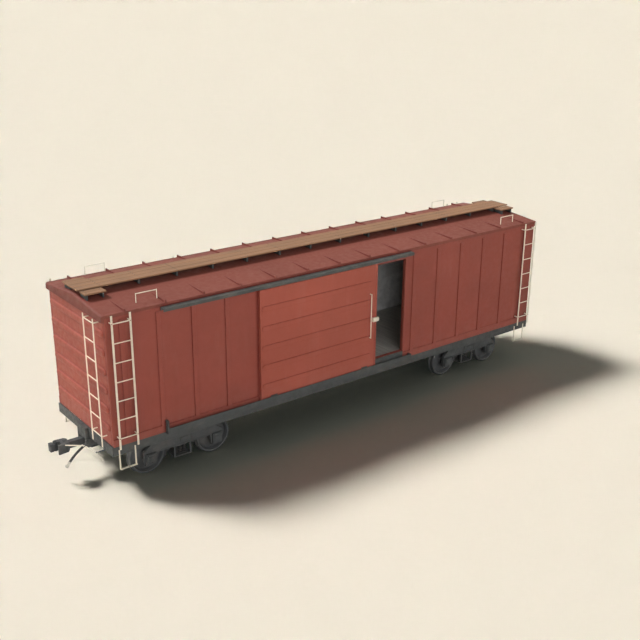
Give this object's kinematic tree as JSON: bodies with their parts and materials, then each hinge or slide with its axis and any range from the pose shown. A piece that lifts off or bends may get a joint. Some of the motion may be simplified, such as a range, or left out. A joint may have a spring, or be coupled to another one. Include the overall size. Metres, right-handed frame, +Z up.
{
  "type": "railroad boxcar",
  "caption": "Sliding-door steel boxcar on two four-wheel trucks, with ladders, running board and knuckle couplers.",
  "frame": {"origin": "under the middle of the car, on the plane the wheel flanges stand on", "axes": "+X along the car towards the B end, +Y to the left side, +Z up"},
  "size_m": [14.3, 3.047, 4.3],
  "materials": {
    "body_red": "oxide red paint, satin, slightly dusty",
    "roof_red": "oxide red paint, satin, sooty and weathered",
    "door_red": "oxide red paint, satin",
    "frame_black": "black car cement, matt, dusty",
    "cast_dark": "rough castings, dark paint and oil",
    "wheel_steel": "dark steel, worn bright on the tread",
    "cream_paint": "cream enamel, satin",
    "running_board_wood": "weathered boards",
    "floor_wood": "rough boards",
    "hose_rubber": "matt black rubber",
    "gladhand_metal": "bare casting, dull"
  },
  "bodies": {
    "car_body": {"center_sill": "frame_black", "side_sills": "frame_black", "cross_bearers": "frame_black", "body_bolsters": "frame_black", "end_sills": "frame_black", "strikers": "frame_black", "floor_stringers": "floor_wood", "floor": "floor_wood", "right_side_wall": "body_red", "left_side_wall": "body_red", "end_wall_a": "body_red", "end_wall_b": "body_red", "roof": "roof_red", "running_board": "running_board_wood", "running_board_saddles": "frame_black", "lateral_boards": "running_board_wood", "right_side_ladders": "cream_paint", "left_side_ladders": "cream_paint", "end_ladders": "cream_paint", "roof_grab_irons": "cream_paint", "stirrup_steps": "cream_paint", "upper_door_tracks": "frame_black", "lower_door_tracks": "frame_black", "uncoupling_levers": "cream_paint", "brake_pipe": "frame_black", "air_hose_a": "hose_rubber", "air_hose_b": "hose_rubber", "gladhand_a": "gladhand_metal", "gladhand_b": "gladhand_metal", "brake_cylinder": "frame_black", "air_reservoir": "frame_black", "brake_valve": "frame_black", "hand_brake": "frame_black"},
    "right_door": {"right_door": "door_red", "right_door_handle": "cream_paint"},
    "left_door": {"left_door": "door_red", "left_door_handle": "cream_paint"},
    "coupler_a": {"coupler_a": "cast_dark"},
    "knuckle_a": {"knuckle_a": "cast_dark"},
    "truck_a": {"side_frames_a": "cast_dark", "truck_bolster_a": "cast_dark", "truck_springs_a": "cast_dark"},
    "wheelset_a1": {"wheels_a1": "wheel_steel", "axle_a1": "wheel_steel"},
    "wheelset_a2": {"wheels_a2": "wheel_steel", "axle_a2": "wheel_steel"},
    "coupler_b": {"coupler_b": "cast_dark"},
    "knuckle_b": {"knuckle_b": "cast_dark"},
    "truck_b": {"side_frames_b": "cast_dark", "truck_bolster_b": "cast_dark", "truck_springs_b": "cast_dark"},
    "wheelset_b1": {"wheels_b1": "wheel_steel", "axle_b1": "wheel_steel"},
    "wheelset_b2": {"wheels_b2": "wheel_steel", "axle_b2": "wheel_steel"}
  },
  "joints": [
    {"name": "right_door_slide", "type": "slide", "parent": "car_body", "child": "right_door", "axis": [-1, 0, 0], "range_m": [-1.07, 2.33]},
    {"name": "left_door_slide", "type": "slide", "parent": "car_body", "child": "left_door", "axis": [1, 0, 0], "range_m": [0, 3.4]},
    {"name": "coupler_a_swing", "type": "hinge", "parent": "car_body", "child": "coupler_a", "pos_m": [-5.9, 0, 0.825], "axis": [0, 0, -1], "range_deg": [-7, 7]},
    {"name": "knuckle_a_pivot", "type": "hinge", "parent": "coupler_a", "child": "knuckle_a", "pos_m": [-7, 0.1, 0.825], "axis": [0, 0, -1], "range_deg": [0, 50]},
    {"name": "truck_a_swivel", "type": "hinge", "parent": "car_body", "child": "truck_a", "pos_m": [-4.5, 0, 0.65], "axis": [0, 0, -1], "range_deg": [-6, 6]},
    {"name": "wheelset_a1_roll", "type": "hinge", "parent": "truck_a", "child": "wheelset_a1", "pos_m": [-5.33, 0, 0.444], "axis": [0, 1, 0], "continuous": true},
    {"name": "wheelset_a2_roll", "type": "hinge", "parent": "truck_a", "child": "wheelset_a2", "pos_m": [-3.67, 0, 0.444], "axis": [0, 1, 0], "continuous": true},
    {"name": "coupler_b_swing", "type": "hinge", "parent": "car_body", "child": "coupler_b", "pos_m": [5.9, 0, 0.825], "axis": [0, 0, 1], "range_deg": [-7, 7]},
    {"name": "knuckle_b_pivot", "type": "hinge", "parent": "coupler_b", "child": "knuckle_b", "pos_m": [7, -0.1, 0.825], "axis": [0, 0, -1], "range_deg": [0, 50]},
    {"name": "truck_b_swivel", "type": "hinge", "parent": "car_body", "child": "truck_b", "pos_m": [4.5, 0, 0.65], "axis": [0, 0, 1], "range_deg": [-6, 6]},
    {"name": "wheelset_b1_roll", "type": "hinge", "parent": "truck_b", "child": "wheelset_b1", "pos_m": [3.67, 0, 0.444], "axis": [0, 1, 0], "continuous": true},
    {"name": "wheelset_b2_roll", "type": "hinge", "parent": "truck_b", "child": "wheelset_b2", "pos_m": [5.33, 0, 0.444], "axis": [0, 1, 0], "continuous": true}
  ]
}
